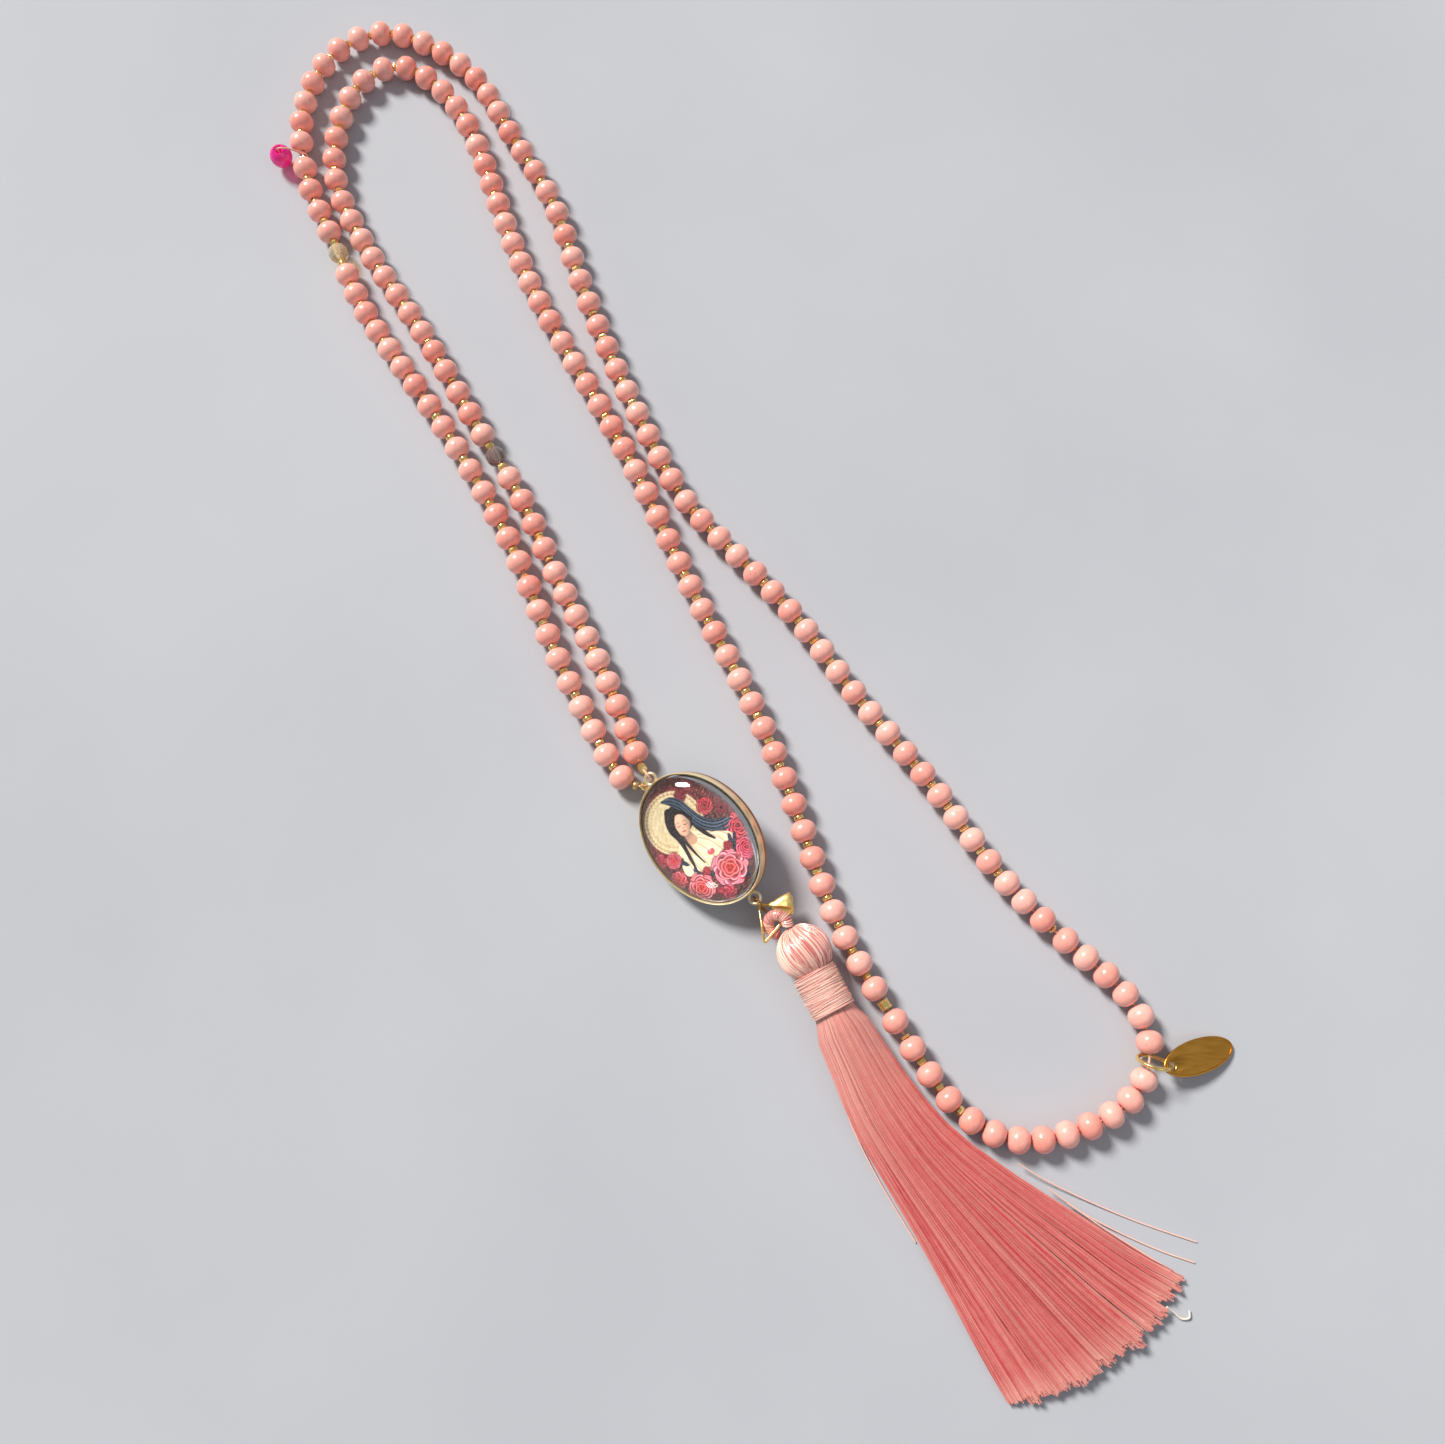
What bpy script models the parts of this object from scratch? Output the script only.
"""Long mala of 6 mm beads, folded flat, with an oval medallion, a tassel and a tag.

Metres, +Z up. The beads rest on z = 0 and the origin is under the middle of the object.
"""

import math

import bmesh
import bpy
import numpy as np
from mathutils import Matrix, Vector

# ---------------------------------------------------------------- driving sizes
BEAD_R = 0.003
BEAD_LENGTH = 0.0052
PITCH = 0.00622  # a bead and the seed bead after it
ARC_PITCH = 0.0059  # round the top, where some seeds are left out
SNUG_PITCH = 0.0054  # beads that touch, with no seed between them
WAIST_R = 0.00105  # seed bead between two beads
SNUG_WAIST_R = 0.0015
HOLE_R = 0.0008
THREAD_R = 0.00025
GAP = 0.0003  # clearance between pieces that touch
MAX_RUN = 12  # beads in one run

GLASS_A, GLASS_B = 0.0115, 0.0155  # half width and half height of the cabochon
RIM_A, RIM_B = 0.01225, 0.01625
RIM_HALF = 0.0026
DOME_TOP = 0.0057
MEDALLION_TILT = math.radians(25.0)
MEDALLION_AT = Vector((-0.0035, -0.0479, 0.00762))
MEDALLION_UP = Vector((-0.658, 0.753, 0.0)).normalized()
EYE_RING_R, EYE_WIRE_R = 0.0013, 0.00035
EYE_OUT = RIM_B + 0.0013  # from the medallion's middle to the middle of an eye

NECK_R = 0.0050
HEAD_R = 0.0062

# ---------------------------------------------------------------- the strand's route
# Bead centres lie on one smooth closed curve through these places.
OUTER_ROUTE = [
    (-0.0218, -0.0334), (-0.0299, -0.0197), (-0.0381, -0.0030), (-0.0457, 0.0156),
    (-0.0538, 0.0321), (-0.0634, 0.0482), (-0.0728, 0.0624), (-0.0859, 0.0817),
    (-0.0917, 0.0930), (-0.0973, 0.1057), (-0.1024, 0.1167), (-0.1056, 0.1290),
    (-0.1062, 0.1390), (-0.1036, 0.1500), (-0.0972, 0.1592), (-0.0868, 0.1633),
    (-0.0758, 0.1600), (-0.0629, 0.1503), (-0.0536, 0.1348), (-0.0423, 0.1150),
    (-0.0360, 0.0973), (-0.0263, 0.0714), (-0.0159, 0.0485), (-0.0090, 0.0354),
    (-0.0014, 0.0259), (0.0165, 0.0064), (0.0317, -0.0143), (0.0483, -0.0352),
    (0.0636, -0.0566), (0.0802, -0.0733), (0.0904, -0.0835), (0.0934, -0.0930),
    (0.0898, -0.1024), (0.0800, -0.1090), (0.0650, -0.1122),
]
INNER_ROUTE = [
    (0.0526, -0.1068), (0.0402, -0.0900), (0.0270, -0.0672), (0.0172, -0.0398),
    (0.0073, -0.0152), (-0.0046, 0.0083), (-0.0163, 0.0338), (-0.0278, 0.0565),
    (-0.0452, 0.0882), (-0.0550, 0.1124), (-0.0630, 0.1340), (-0.0714, 0.1466),
    (-0.0828, 0.1532), (-0.0920, 0.1480), (-0.0968, 0.1350), (-0.0966, 0.1210),
    (-0.0920, 0.1090), (-0.0840, 0.0950), (-0.0712, 0.0755), (-0.0559, 0.0492),
    (-0.0461, 0.0328), (-0.0380, 0.0149), (-0.0274, -0.0067), (-0.0187, -0.0277),
]
# The thread's turn through the medallion's upper eye, over its outer edge and out below.
EYE_TURN = [
    (-0.0177, -0.0303, 0.0030), (-0.0170, -0.0318, 0.0052), (-0.0164, -0.0329, 0.0078),
    (-0.0156, -0.0341, 0.0088), (-0.01505, -0.03469, 0.00762), (-0.0153, -0.0352, 0.0056),
    (-0.0168, -0.0356, 0.0038), (-0.0193, -0.0350, 0.0030),
]

# Lines across the strands where the folded mala bends up from the table.
FOLDS = {
    "f1": (Vector((-0.0457, 0.0150, BEAD_R)), Vector((0.864, 0.504, 0.0)).normalized()),
    "f2": (Vector((-0.0717, 0.0607, BEAD_R)), Vector((0.880, 0.470, 0.0)).normalized()),
    "f3": (Vector((-0.1011, 0.1143, BEAD_R)), Vector((0.900, 0.435, 0.0)).normalized()),
    "f4": (Vector((0.0404, -0.0903, BEAD_R)), Vector((0.830, 0.556, 0.0)).normalized()),
}
FOLD_HALF = 0.0007
CRYSTAL_1_AT, CRYSTAL_2_AT = (-0.0943, 0.0995), (-0.0534, 0.0448)
PINK_AT, RING_AT = (-0.1051, 0.1272), (0.0926, -0.0957)
TUBE_AT, SNUG_FROM, SNUG_TO = (0.0364, -0.0838), (0.0663, -0.0592), (0.0565, -0.1096)
CRYSTAL_R, CRYSTAL_HALF, CRYSTAL_CLEAR = 0.0025, 0.0022, 0.0039
TUBE_R, TUBE_HALF, TUBE_CLEAR = 0.0014, 0.0011, 0.0014
PINK_CLEAR, RING_CLEAR = 0.0012, 0.0015
UP = Vector((0.0, 0.0, 1.0))


# ---------------------------------------------------------------- materials
def finish(name, colour, roughness, metallic=0.0):
    mat = bpy.data.materials.new(name)
    mat.use_nodes = True
    shader = mat.node_tree.nodes["Principled BSDF"]
    shader.inputs["Base Color"].default_value = (*colour, 1.0)
    shader.inputs["Roughness"].default_value = roughness
    shader.inputs["Metallic"].default_value = metallic
    return mat


def make_finishes():
    return {
        "coral": finish("coral_glaze", (0.90, 0.42, 0.35), 0.25),
        "gold": finish("gold_plate", (0.80, 0.58, 0.20), 0.25, 1.0),
        "thread": finish("stringing_thread", (0.85, 0.62, 0.52), 0.6),
        "crystal": finish("smoky_crystal", (0.32, 0.27, 0.27), 0.05),
        "pink": finish("pink_glass", (0.90, 0.03, 0.35), 0.1),
        "glass": finish("clear_glass", (0.90, 0.92, 0.92), 0.03),
        "picture": finish("picture_card", (0.72, 0.42, 0.42), 0.5),
        "bezel": finish("bezel_gold", (0.80, 0.68, 0.45), 0.3, 1.0),
        "wire": finish("aged_wire", (0.30, 0.17, 0.08), 0.4, 1.0),
        "satin": finish("satin_thread", (0.88, 0.33, 0.29), 0.45),
        "core": finish("core_bead", (0.75, 0.66, 0.52), 0.6),
    }


# ---------------------------------------------------------------- mesh helpers
def add_object(name, mesh, mat, smooth=True):
    mesh.materials.append(mat)
    if smooth:
        mesh.shade_smooth()
        mesh.set_sharp_from_angle(angle=math.radians(50))
    obj = bpy.data.objects.new(name, mesh)
    bpy.context.collection.objects.link(obj)
    return obj


def from_bmesh(name, bm, mat, smooth=True):
    bmesh.ops.recalc_face_normals(bm, faces=bm.faces)
    mesh = bpy.data.meshes.new(name)
    bm.to_mesh(mesh)
    bm.free()
    return add_object(name, mesh, mat, smooth)


def join_rings(bm, first, second):
    """Quads between two rings of the same length."""
    n = len(first)
    for k in range(n):
        bm.faces.new((first[k], first[(k + 1) % n], second[(k + 1) % n], second[k]))


def skin(bm, rings, closed=False):
    """A skin over rings of points; closed joins the last ring to the first, else the ends are filled."""
    made = [[bm.verts.new(p) for p in ring] for ring in rings]
    for first, second in zip(made, made[1:]):
        join_rings(bm, first, second)
    if closed:
        join_rings(bm, made[-1], made[0])
    else:
        bm.faces.new(list(reversed(made[0])))
        bm.faces.new(made[-1])
    return made


def ring_points(centre, side, up, radius, count, radius_up=None):
    """A round or oval of points, with one point exactly at the bottom."""
    radius_up = radius if radius_up is None else radius_up
    turn = [2 * math.pi * k / count - math.pi / 2 for k in range(count)]
    return [centre + side * (radius * math.cos(a)) + up * (radius_up * math.sin(a)) for a in turn]


def frame_along(direction):
    """Side and up axes square to a direction."""
    guide = UP if abs(direction.z) < 0.95 else Vector((1.0, 0.0, 0.0))
    side = direction.cross(guide).normalized()
    return side, side.cross(direction).normalized()


def closed_tube(name, points, radius, sides, mat, squeeze=None):
    """A tube round a closed line of points. squeeze gives each point's (half thickness, half width)."""
    count = len(points)
    middle = sum(points, Vector()) / count
    flat = Vector((0.0, 0.0, 0.0))
    for k in range(count):
        flat += (points[k] - middle).cross(points[(k + 1) % count] - middle)
    flat.normalize()
    rings = []
    for k in range(count):
        along = (points[(k + 1) % count] - points[k - 1]).normalized()
        out = along.cross(flat).normalized()
        thick, wide = squeeze[k] if squeeze else (radius, radius)
        rings.append(ring_points(points[k], out, flat, thick, sides, wide))
    bm = bmesh.new()
    skin(bm, rings, closed=True)
    return from_bmesh(name, bm, mat)


def curve_tube(name, points, radius, mat, resolution=2):
    """A curve object: a POLY spline with a round bevel and filled caps."""
    curve = bpy.data.curves.new(name, "CURVE")
    curve.dimensions = "3D"
    curve.bevel_depth = radius
    curve.bevel_resolution = resolution
    curve.use_fill_caps = True
    spline = curve.splines.new("POLY")
    spline.points.add(len(points) - 1)
    for place, point in zip(points, spline.points):
        point.co = (*place, 1.0)
    curve.materials.append(mat)
    obj = bpy.data.objects.new(name, curve)
    bpy.context.collection.objects.link(obj)
    return obj


def turned(name, profile, matrix, sides, mat, bore=None):
    """A turned piece: (height, radius) pairs from bottom to top, with a bore through it if given."""
    if bore:
        profile = profile + [(profile[-1][0], bore), (profile[0][0], bore)]
    rings = []
    for height, radius in profile:
        angles = [2 * math.pi * k / sides for k in range(sides)]
        rings.append([matrix @ Vector((radius * math.cos(a), radius * math.sin(a), height)) for a in angles])
    bm = bmesh.new()
    skin(bm, rings, closed=bool(bore))
    return from_bmesh(name, bm, mat)


def placed(origin, axis, side=None):
    """A matrix whose +Z is axis and whose origin is at origin."""
    z = axis.normalized()
    x = (side - z * side.dot(z)).normalized() if side else z.orthogonal().normalized()
    y = z.cross(x)
    m = Matrix((x, y, z)).transposed().to_4x4()
    m.translation = origin
    return m


# ---------------------------------------------------------------- the route as a curve
class Route:
    """A smooth closed curve through the route's places, measured by its length."""

    STEP = 0.00025

    def __init__(self, places):
        knots = np.array([tuple(p) for p in places])
        closed = np.vstack([knots, knots[:1]])
        t = np.concatenate([[0.0], np.cumsum(np.linalg.norm(np.diff(closed, axis=0), axis=1) ** 0.6)])
        h = np.diff(t)
        n = len(knots)
        system, rhs = np.zeros((n, n)), np.zeros((n, 3))
        slopes = np.diff(closed, axis=0) / h[:, None]
        for i in range(n):
            system[i, i - 1] += h[i - 1]
            system[i, i] += 2 * (h[i - 1] + h[i])
            system[i, (i + 1) % n] += h[i]
            rhs[i] = 6 * (slopes[i] - slopes[i - 1])
        bend = np.linalg.solve(system, rhs)
        bend = np.vstack([bend, bend[:1]])
        fine = []
        for i in range(n):
            level = closed[i, 2] == closed[i + 1, 2] == BEAD_R
            for b in np.linspace(0.0, 1.0, 160, endpoint=False):
                a = 1 - b
                place = a * closed[i] + b * closed[i + 1]
                place = place + h[i] ** 2 / 6 * ((a**3 - a) * bend[i] + (b**3 - b) * bend[i + 1])
                fine.append([place[0], place[1], BEAD_R if level else place[2]])
        fine = np.array(fine + [fine[0]])
        self.s = np.concatenate([[0.0], np.cumsum(np.linalg.norm(np.diff(fine, axis=0), axis=1))])
        self.length = float(self.s[-1])
        self.points = fine

    def at(self, s):
        s = s % self.length
        return Vector([float(np.interp(s, self.s, self.points[:, k])) for k in range(3)])

    def along(self, s):
        return (self.at(s + self.STEP) - self.at(s - self.STEP)).normalized()

    def nearest(self, x, y):
        flat = np.hypot(self.points[:, 0] - x, self.points[:, 1] - y)
        return float(self.s[int(np.argmin(flat))])

    def crossings(self, start, direction):
        """Lengths at which the route crosses a straight line on the table."""
        across = np.array([-direction.y, direction.x])
        side = (self.points[:, :2] - np.array([start.x, start.y])) @ across
        out = []
        for i in np.nonzero(side[:-1] * side[1:] < 0)[0]:
            share = side[i] / (side[i] - side[i + 1])
            out.append(float(self.s[i] + share * (self.s[i + 1] - self.s[i])))
        return out


# ---------------------------------------------------------------- the strand
class Mark:
    """A place along the strand that is kept clear of beads on each side."""

    def __init__(self, s, kind, clear):
        self.s, self.kind, self.clear = s, kind, clear


def strand_marks(route):
    marks = [
        Mark(route.nearest(*OUTER_ROUTE[0]) - BEAD_LENGTH / 2, "eye_out", 0.0),
        Mark(route.nearest(*INNER_ROUTE[-1]) + BEAD_LENGTH / 2, "eye_in", 0.0),
    ]
    for name, (start, direction) in FOLDS.items():
        for s in route.crossings(start, direction):
            marks.append(Mark(s, name, FOLD_HALF))
    for place, kind, clear in (
        (CRYSTAL_1_AT, "crystal_1", CRYSTAL_CLEAR),
        (CRYSTAL_2_AT, "crystal_2", CRYSTAL_CLEAR),
        (PINK_AT, "pink", PINK_CLEAR),
        (RING_AT, "ring", RING_CLEAR),
        (TUBE_AT, "tube", TUBE_CLEAR),
        (SNUG_FROM, "snug", (SNUG_PITCH - BEAD_LENGTH) / 2),
        (SNUG_TO, "loose", (SNUG_PITCH - BEAD_LENGTH) / 2),
    ):
        marks.append(Mark(route.nearest(*place), kind, clear))
    return sorted(marks, key=lambda mark: mark.s)


def bead_places(first, second, pitch):
    """Bead centres between two marks, spread evenly."""
    start, end = first.s + first.clear, second.s - second.clear
    count = max(1, round((end - start + pitch - BEAD_LENGTH) / pitch))
    if count == 1:
        return [(start + end) / 2]
    step = (end - start - BEAD_LENGTH) / (count - 1)
    return [start + BEAD_LENGTH / 2 + step * k for k in range(count)]


def bead_stretches(marks):
    """Bead centres between each two fixed marks. A change of pitch doesn't end a stretch."""
    out, snug, start, centres = [], False, marks[0], []
    for first, second in zip(marks, marks[1:]):
        snug = first.kind == "snug" or (snug and first.kind != "loose")
        arc = first.kind == "pink" or first.kind == second.kind == "f3"
        centres += bead_places(first, second, SNUG_PITCH if snug else ARC_PITCH if arc else PITCH)
        if second.kind not in ("snug", "loose"):
            out.append((start, second, centres))
            start, centres = second, []
    return out


def waist_radius(spacing):
    return WAIST_R if spacing > BEAD_LENGTH + 0.0006 else SNUG_WAIST_R


def run_of_beads(name, route, centres, ends, mat):
    """Beads and the seeds between them as one skin round the route, with the thread's hole inside."""
    shoulder = 0.27 * BEAD_LENGTH
    stations = [(ends[0], SNUG_WAIST_R)]
    for centre, after in zip(centres, centres[1:] + [None]):
        stations += [(centre - shoulder, BEAD_R), (centre + shoulder, BEAD_R)]
        if after:
            stations.append(((centre + after) / 2, waist_radius(after - centre)))
    stations.append((ends[1], SNUG_WAIST_R))
    outer, bore = [], []
    for s, radius in stations:
        centre = route.at(s)
        side, up = frame_along(route.along(s))
        outer.append(ring_points(centre, side, up, radius, 8))
        if radius < BEAD_R:
            bore.append(ring_points(centre, side, up, HOLE_R, 4))
    bm = bmesh.new()
    skins = [[bm.verts.new(p) for p in ring] for ring in outer]
    holes = [[bm.verts.new(p) for p in ring] for ring in bore]
    for rows in (skins, holes):
        for first, second in zip(rows, rows[1:]):
            join_rings(bm, first, second)
    for rim, hole in ((skins[0], holes[0]), (skins[-1], holes[-1])):
        for k in range(4):
            a, b, c = rim[2 * k], rim[2 * k + 1], rim[(2 * k + 2) % 8]
            bm.faces.new((a, b, hole[k]))
            bm.faces.new((b, c, hole[k]))
            bm.faces.new((c, hole[(k + 1) % 4], hole[k]))
    return from_bmesh(name, bm, mat)


def make_strand(route, mats):
    """All the runs of beads. Gives back the marks and the places where the thread bends."""
    marks = strand_marks(route)
    knots = {mark.s for mark in marks if mark.kind not in ("snug", "loose")}
    number = 0
    for first, second, centres in bead_stretches(marks):
        size = math.ceil(len(centres) / math.ceil(len(centres) / MAX_RUN))
        waists = [(a + b) / 2 for a, b in zip(centres, centres[1:])]
        low = centres[0] - BEAD_LENGTH / 2
        high = centres[-1] + BEAD_LENGTH / 2
        if first.kind.startswith("crystal"):
            low = first.s + CRYSTAL_HALF + GAP
        if second.kind.startswith("crystal"):
            high = second.s - CRYSTAL_HALF - GAP
        knots.update((low, *waists, high))
        for k in range(0, len(centres), size):
            start = waists[k - 1] + GAP / 2 if k else low
            end = waists[k + size - 1] - GAP / 2 if k + size < len(centres) else high
            number += 1
            run_of_beads(f"bead_run_{number:02d}", route, centres[k:k + size], (start, end), mats["coral"])
    return marks, sorted(knots)


def make_thread(route, marks, knots, mats):
    """The stringing thread, cut only where the folds cross it."""
    cuts = [mark.s for mark in marks if mark.kind in FOLDS]
    eye_out = next(mark.s for mark in marks if mark.kind == "eye_out")
    eye_in = next(mark.s for mark in marks if mark.kind == "eye_in")
    turn = route.length - eye_in + eye_out
    steps = 18
    through_eye = [eye_in + turn * k / steps for k in range(1, steps)]
    spans = zip(cuts, cuts[1:])
    for number, (start, end) in enumerate(spans, 2):
        inside = [s for s in knots if start + GAP < s < end - GAP]
        places = [start + GAP / 2, *inside, end - GAP / 2]
        curve_tube(f"thread_{number:02d}", [route.at(s) for s in places], THREAD_R, mats["thread"])
    before = [s for s in knots if cuts[-1] + GAP < s <= eye_in]
    after = [s + route.length for s in knots if eye_out <= s < cuts[0] - GAP]
    places = [cuts[-1] + GAP / 2, *before, *through_eye, *after, cuts[0] - GAP / 2 + route.length]
    curve_tube("thread_01", [route.at(s) for s in places], THREAD_R, mats["thread"])
    return eye_in, turn


def make_eye_seeds(route, eye_in, turn, mats):
    """Gold seeds on the two ends of the strand beside the medallion's eye."""
    for number, share in enumerate((0.10, 0.23, 0.80, 0.93), 1):
        s = eye_in + turn * share
        m = placed(route.at(s), route.along(s))
        half = 0.00045
        profile = [(-half, 0.00075), (-half / 3, 0.00105), (half / 3, 0.00105), (half, 0.00075)]
        turned(f"eye_seed_{number}", profile, m, 8, mats["gold"], bore=0.0006)


def make_crystals(route, marks, mats):
    for mark in marks:
        if not mark.kind.startswith("crystal"):
            continue
        m = placed(route.at(mark.s), route.along(mark.s), UP)
        half = CRYSTAL_HALF
        profile = [(-half, 0.0013), (-half * 0.3, CRYSTAL_R), (half * 0.3, CRYSTAL_R), (half, 0.0013)]
        turned(f"smoky_{mark.kind}", profile, m, 8, mats["crystal"], bore=0.0006)


def make_tube_spacer(route, marks, mats):
    mark = next(m for m in marks if m.kind == "tube")
    m = placed(route.at(mark.s), route.along(mark.s), UP)
    profile = [(-TUBE_HALF, TUBE_R), (TUBE_HALF, TUBE_R)]
    turned("gold_tube_spacer", profile, m, 12, mats["gold"], bore=0.0006)


# ---------------------------------------------------------------- the hot-pink charm bead
PINK_CENTRE = Vector((-0.1106, 0.1266, 0.0036))
PINK_R = 0.0028


def make_pink_charm(route, marks, mats):
    mark = next(m for m in marks if m.kind == "pink")
    anchor = route.at(mark.s)
    out = Vector((PINK_CENTRE.x - anchor.x, PINK_CENTRE.y - anchor.y, 0.0))
    reach, out = out.length, out.normalized()
    half = PINK_R * 0.92
    profile = [
        (-half, 0.0012), (-half * 0.5, 0.0025), (half * 0.02, PINK_R), (half * 0.5, 0.0025), (half, 0.0012),
    ]
    turned("hot_pink_bead", profile, placed(PINK_CENTRE, UP, out), 14, mats["pink"], bore=0.0008)
    shape = [  # distance out from the strand's thread, height
        (reach, 0.00025), (reach, 0.0020), (reach, 0.0050), (reach, 0.0066), (reach * 0.6, 0.0064),
        (0.0006, 0.0046), (-0.0009, 0.0033), (-0.0006, 0.0020), (0.0010, 0.0008), (reach * 0.5, 0.00025),
    ]
    ground = Vector((anchor.x, anchor.y, 0.0))
    points = [ground + out * d + UP * z for d, z in shape]
    closed_tube("pink_bead_loop", points, 0.0002, 6, mats["thread"])
    return anchor


# ---------------------------------------------------------------- the tag and its ring
RING_R, RING_WIRE_R = 0.00355, 0.00042
RING_LEAN = math.radians(22.0)
TAG_A, TAG_B, TAG_HALF = 0.0087, 0.0037, 0.0004
TAG_HOLE_R, TAG_HOLE_IN = 0.00095, 0.0017


def make_tag(route, marks, mats):
    mark = next(m for m in marks if m.kind == "ring")
    anchor, along = route.at(mark.s), route.along(mark.s)
    out = Vector((-along.y, along.x, 0.0)).normalized()
    lean = (along * math.cos(RING_LEAN) - UP * math.sin(RING_LEAN)).normalized()
    rise = lean.cross(out).normalized()
    rise = rise if rise.z > 0 else -rise
    centre = anchor + out * 0.0008
    centre.z = (RING_R + RING_WIRE_R) * math.cos(RING_LEAN) + 0.0002
    turns = [2 * math.pi * k / 20 for k in range(20)]
    points = [centre + out * (RING_R * math.cos(a)) + rise * (RING_R * math.sin(a)) for a in turns]
    closed_tube("jump_ring", points, RING_WIRE_R, 6, mats["gold"])

    hole = centre + out * (RING_R + 0.0001)
    far = Vector((0.1113, -0.0925, TAG_HALF + 0.0003))
    length_axis = (far - hole).normalized()
    width_axis = UP.cross(length_axis).normalized()
    face = length_axis.cross(width_axis)
    middle = hole + length_axis * (TAG_A - TAG_HOLE_IN)
    outline, cut = [], []
    for k in range(24):
        a = 2 * math.pi * k / 24
        outline.append(length_axis * (-TAG_A * math.cos(a)) + width_axis * (TAG_B * math.sin(a)))
        small = length_axis * (-TAG_HOLE_R * math.cos(a)) + width_axis * (TAG_HOLE_R * math.sin(a))
        cut.append(small - length_axis * (TAG_A - TAG_HOLE_IN))
    rings = [
        [middle + p + face * TAG_HALF for p in outline],
        [middle + p + face * TAG_HALF for p in cut],
        [middle + p - face * TAG_HALF for p in cut],
        [middle + p - face * TAG_HALF for p in outline],
    ]
    bm = bmesh.new()
    skin(bm, rings, closed=True)
    from_bmesh("oval_tag", bm, mats["gold"])
    return anchor, along, hole


# ---------------------------------------------------------------- the medallion
def medallion_matrix():
    """+Y up the medallion, +Z out of its face, which leans to its lower left."""
    y = MEDALLION_UP
    right = Vector((y.y, -y.x, 0.0))
    z = (UP * math.cos(MEDALLION_TILT) - right * math.sin(MEDALLION_TILT)).normalized()
    x = y.cross(z)
    m = Matrix((x, y, z)).transposed().to_4x4()
    m.translation = MEDALLION_AT
    return m


def oval_piece(name, levels, m, mat, ring=False, count=24):
    """An oval piece from (half width, half height, level) rows."""
    rings = []
    for a, b, z in levels:
        turns = [2 * math.pi * k / count for k in range(count)]
        rings.append([m @ Vector((a * math.cos(t), b * math.sin(t), z)) for t in turns])
    bm = bmesh.new()
    skin(bm, rings, closed=ring)
    return from_bmesh(name, bm, mat)


def unite(body, *others):
    for other in others:
        mod = body.modifiers.new("join", "BOOLEAN")
        mod.operation = "UNION"
        mod.object = other
        other.hide_render = True
        other.display_type = "WIRE"


def make_medallion(mats):
    m = medallion_matrix()
    web, lip = 0.0004, 0.0003
    wall_a, wall_b = GLASS_A + lip, GLASS_B + lip
    rim_top = RIM_HALF - 0.0003
    rows = [
        (0.001, 0.001, web), (wall_a, wall_b, web), (wall_a, wall_b, RIM_HALF), (RIM_A, RIM_B, rim_top),
        (RIM_A, RIM_B, -rim_top), (wall_a, wall_b, -RIM_HALF), (wall_a, wall_b, -web), (0.001, 0.001, -web),
    ]
    bezel = oval_piece("medallion_bezel", rows, m, mats["bezel"])
    eyes = []
    for name, way in (("eye_cut_top", 1), ("eye_cut_bottom", -1)):
        centre = Vector((0.0, EYE_OUT * way, 0.0))
        turns = [2 * math.pi * k / 12 for k in range(12)]
        points = [m @ (centre + EYE_RING_R * Vector((math.cos(t), math.sin(t), 0.0))) for t in turns]
        eyes.append(closed_tube(name, points, EYE_WIRE_R, 6, mats["bezel"]))
    unite(bezel, *eyes)
    for side, way in (("front", 1), ("rear", -1)):
        card = web + GAP
        card_a, card_b = GLASS_A - 0.0001, GLASS_B - 0.0001
        rows = [(card_a, card_b, way * card), (card_a, card_b, way * (card + 0.0003))]
        oval_piece(f"{side}_picture_card", rows, m, mats["picture"])
        base = card + 0.0003 + GAP
        rows = [(GLASS_A, GLASS_B, way * base), (GLASS_A, GLASS_B, way * (base + 0.0006))]
        rise = DOME_TOP - base - 0.0006
        for share in (0.42, 0.75, 0.95):
            flat = math.sqrt(1 - share**2)
            rows.append((GLASS_A * flat, GLASS_B * flat, way * (base + 0.0006 + rise * share)))
        oval_piece(f"{side}_glass_cabochon", rows, m, mats["glass"])
    return m


# ---------------------------------------------------------------- the hanger
LIFT_AT = Vector((0.0133, -0.0671, 0.0066))  # middle of the bail's bar, inside the tassel's loop
BAR = Vector((-0.65, -0.76, 0.0)).normalized()
BAR_HALF = 0.0049
LINK_R, LINK_WIRE_R, LINK_DROP = 0.0021, 0.00025, math.radians(35.0)
CORNER_IN, CORNER_ANGLE = 0.0013, math.radians(-100.0)


def make_hanger(m, mats):
    """A wire ring through the medallion's lower eye, and the triangular bail through that ring."""
    eye = m @ Vector((0.0, -EYE_OUT, 0.0))
    out = -MEDALLION_UP
    middle = eye + out * (LINK_R * math.cos(LINK_DROP)) - UP * (LINK_R * math.sin(LINK_DROP))
    turns = [2 * math.pi * k / 16 for k in range(16)]
    points = [middle + out * (LINK_R * math.cos(t)) + UP * (LINK_R * math.sin(t)) for t in turns]
    closed_tube("twisted_wire_link", points, LINK_WIRE_R, 6, mats["wire"])

    corner = middle + out * (CORNER_IN * math.cos(CORNER_ANGLE)) + UP * (CORNER_IN * math.sin(CORNER_ANGLE))
    tip, prong = LIFT_AT - BAR * BAR_HALF, LIFT_AT + BAR * BAR_HALF
    sides = (  # start, end, then places along the side with the strip's half width there
        (tip, prong, ((0.06, 0.0010), (0.35, 0.0005), (0.65, 0.0005), (0.94, 0.0006))),
        (prong, corner, ((0.08, 0.0007), (0.45, 0.0009), (0.93, 0.0004))),
        (corner, tip, ((0.07, 0.0004), (0.5, 0.0012), (0.92, 0.0013))),
    )
    points, size = [], []
    for start, end, shape in sides:
        for share, wide in shape:
            points.append(start.lerp(end, share))
            size.append((0.00030, wide))
    closed_tube("pinch_bail", points, 0.0, 6, mats["gold"], squeeze=size)


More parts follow.
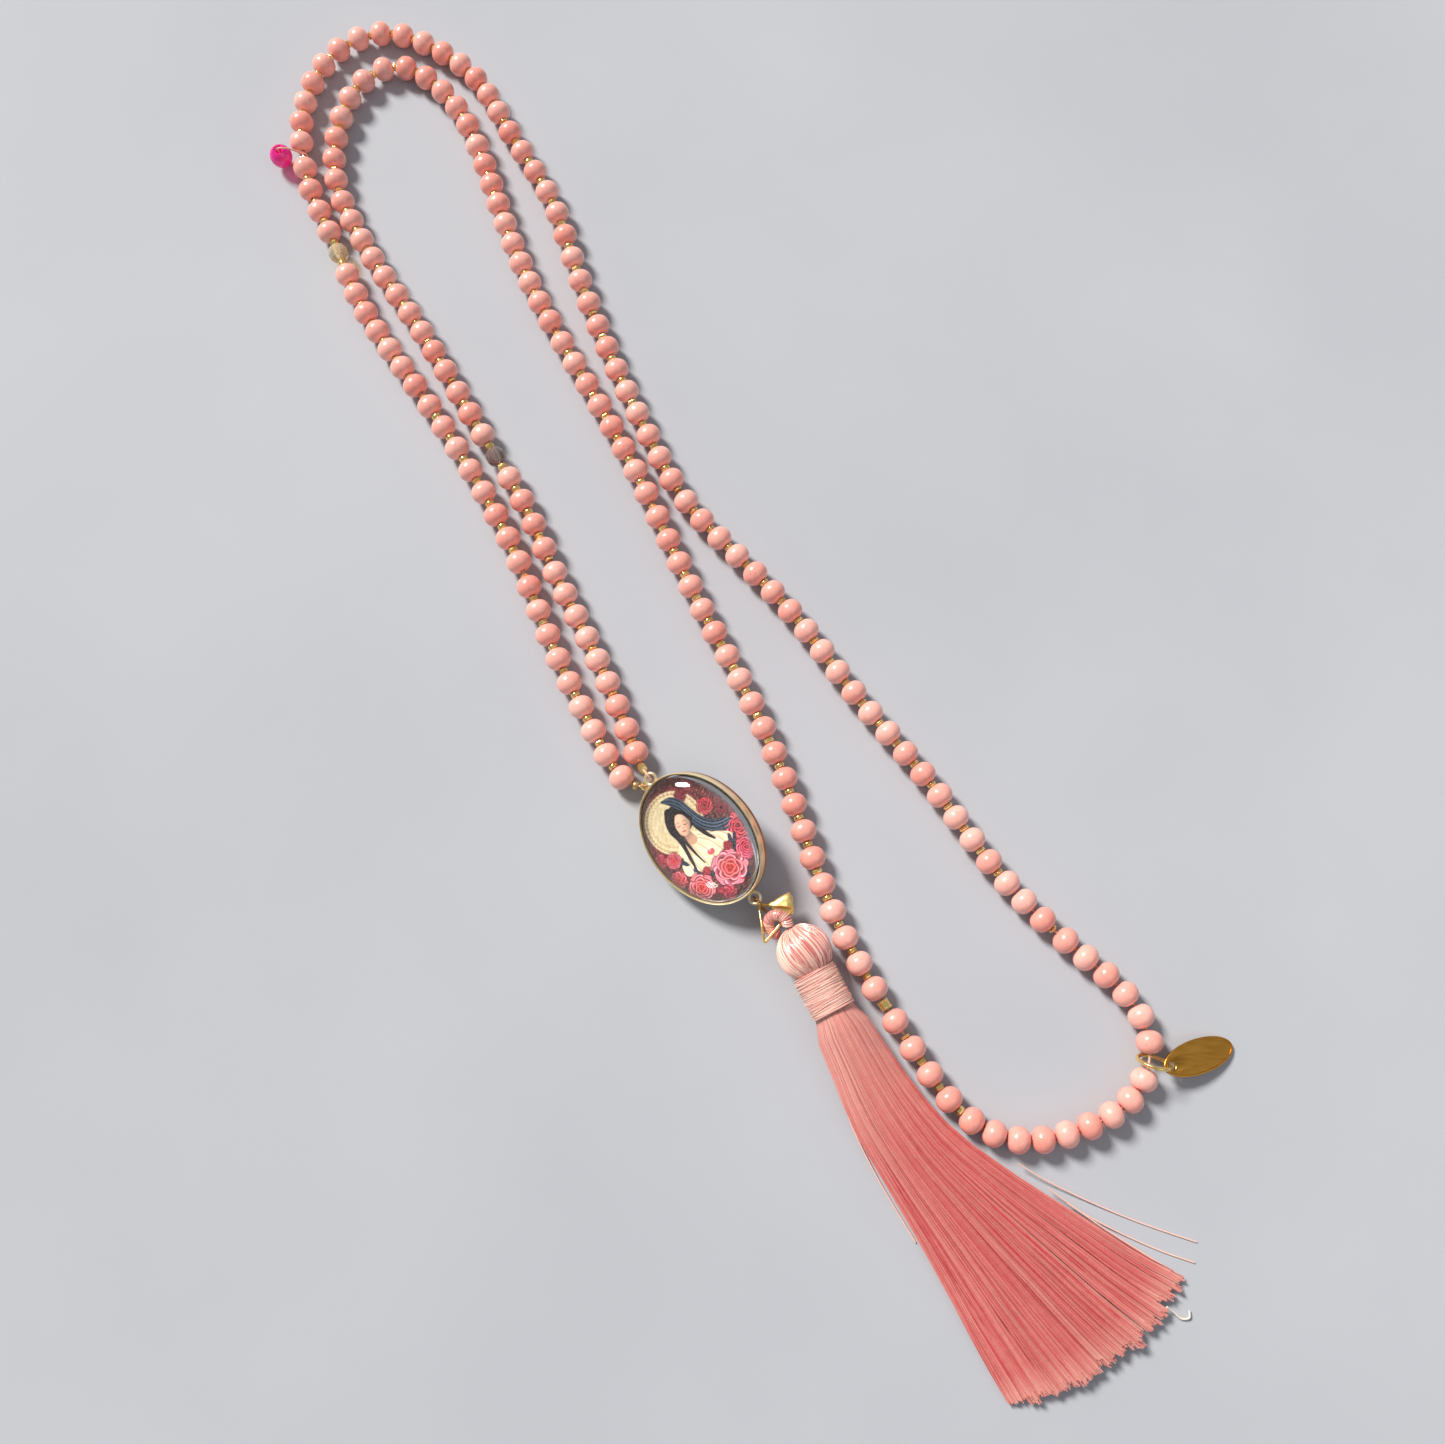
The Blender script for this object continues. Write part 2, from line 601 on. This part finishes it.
# ---------------------------------------------------------------- the tassel
HEAD_AT = Vector((0.0188, -0.0727, HEAD_R + 0.0001))
NECK_FROM, NECK_TO = Vector((0.0207, -0.0769, 0.0054)), Vector((0.0251, -0.0853, 0.0052))
WRAP_BORE_R, SKIRT_CORE_R = 0.0044, 0.0040
LOOP_R, LOOP_CORD_R = 0.0024, 0.0012
# The fan's left edge, right edge and thickness, from the neck wrap down to the ends.
SKIRT = [
    ((0.0213, -0.0901), (0.0312, -0.0849), 0.0096), ((0.0244, -0.0980), (0.0352, -0.0906), 0.0082),
    ((0.0282, -0.1080), (0.0402, -0.0978), 0.0070), ((0.0350, -0.1202), (0.0495, -0.1090), 0.0060),
    ((0.0426, -0.1332), (0.0620, -0.1183), 0.0050), ((0.0502, -0.1473), (0.0775, -0.1280), 0.0042),
    ((0.0563, -0.1583), (0.0908, -0.1362), 0.0035), ((0.0604, -0.1655), (0.0991, -0.1402), 0.0030),
]
SKIRT_BOW = 0.0052  # how far the middle of the ends lies past their corners


def loop_points():
    """Thread-wrapped loop round the bail's bar, one leg higher than the other."""
    to_head = Vector((HEAD_AT.x - LIFT_AT.x, HEAD_AT.y - LIFT_AT.y, 0.0))
    reach = to_head.length - HEAD_R - GAP
    to_head.normalize()
    across = UP.cross(to_head).normalized()
    raised = (UP * 0.80 + across * 0.60).normalized()
    round_bar = [math.pi / 2 + math.pi * k / 8 for k in range(9)]
    points = [
        LIFT_AT + to_head * (LOOP_R * math.cos(t)) + raised * (LOOP_R * math.sin(t)) for t in round_bar
    ]
    upper = LIFT_AT + to_head * reach + raised * (LOOP_R * 0.66)
    lower = LIFT_AT + to_head * reach - raised * (LOOP_R * 0.66)
    return [upper, *points, lower]


def tassel_axis():
    return (NECK_TO - NECK_FROM).normalized()


def make_tassel(mats):
    axis = tassel_axis()
    m = placed(HEAD_AT, axis)
    outer = [(-HEAD_R * 0.97, 0.0016), (-HEAD_R * 0.80, 0.0038), (-HEAD_R * 0.42, 0.0056), (0.0, HEAD_R),
             (HEAD_R * 0.36, 0.0059), (0.0043, 0.0047)]
    inner = [(0.0043, 0.0032), (0.0024, 0.0046), (0.0, 0.0051), (-0.0026, 0.0044), (-0.0044, 0.0025)]
    rings = []
    for height, radius in outer + inner:
        turns = [2 * math.pi * k / 14 for k in range(14)]
        rings.append([m @ Vector((radius * math.cos(a), radius * math.sin(a), height)) for a in turns])
    bm = bmesh.new()
    skin(bm, rings)
    from_bmesh("tassel_head", bm, mats["satin"])
    core = [(-0.0040, 0.0015), (-0.0024, 0.0040), (0.0, 0.0047), (0.0022, 0.0042), (0.0037, 0.0022)]
    turned("tassel_head_core", core, m, 12, mats["core"])

    length = (NECK_TO - NECK_FROM).length
    wrap = [(0.0, NECK_R - 0.0003), (0.0008, NECK_R), (length - 0.0008, NECK_R), (length, NECK_R - 0.0003)]
    turned("tassel_neck_wrap", wrap, placed(NECK_FROM, axis), 16, mats["satin"], bore=WRAP_BORE_R)
    make_skirt(mats)


def make_skirt(mats):
    """Fan of threads as one solid with a flat underside, and its round core inside the neck wrap."""
    axis = tassel_axis()
    level = Vector((axis.y, -axis.x, 0.0)).normalized()
    count = 12
    rings = [ring_points(NECK_FROM + axis * 0.0012, -level, UP, SKIRT_CORE_R, count),
             ring_points(NECK_TO + axis * 0.0005, -level, UP, SKIRT_CORE_R, count)]
    last = len(SKIRT) - 1
    for k, (left, right, thick) in enumerate(SKIRT):
        left, right = Vector((*left, 0.0)), Vector((*right, 0.0))
        middle, half = (left + right) / 2, (right - left) / 2
        along = Vector((half.y, -half.x, 0.0)).normalized()
        ring = []
        for j in range(count):
            a = 2 * math.pi * j / count - math.pi / 2
            share = math.cos(a)
            bow = along * (SKIRT_BOW * (k / last) ** 2 * (1 - share**2))
            height = 0.0 if math.sin(a) < -0.01 else thick * (0.35 + 0.65 * math.sin(a))
            ring.append(middle + half * share + bow + UP * (height + 0.0002))
        rings.append(ring)
    bm = bmesh.new()
    skin(bm, rings)
    from_bmesh("tassel_skirt", bm, mats["satin"])


def main():
    for obj in list(bpy.data.objects):
        bpy.data.objects.remove(obj)
    mats = make_finishes()
    route = Route([(x, y, BEAD_R) for x, y in OUTER_ROUTE + INNER_ROUTE] + EYE_TURN)
    marks, knots = make_strand(route, mats)
    eye_in, turn = make_thread(route, marks, knots, mats)
    make_eye_seeds(route, eye_in, turn, mats)
    make_crystals(route, marks, mats)
    make_tube_spacer(route, marks, mats)
    make_pink_charm(route, marks, mats)
    make_tag(route, marks, mats)
    m = make_medallion(mats)
    make_hanger(m, mats)
    curve_tube("tassel_hanging_loop", loop_points(), LOOP_CORD_R, mats["satin"])
    make_tassel(mats)


main()
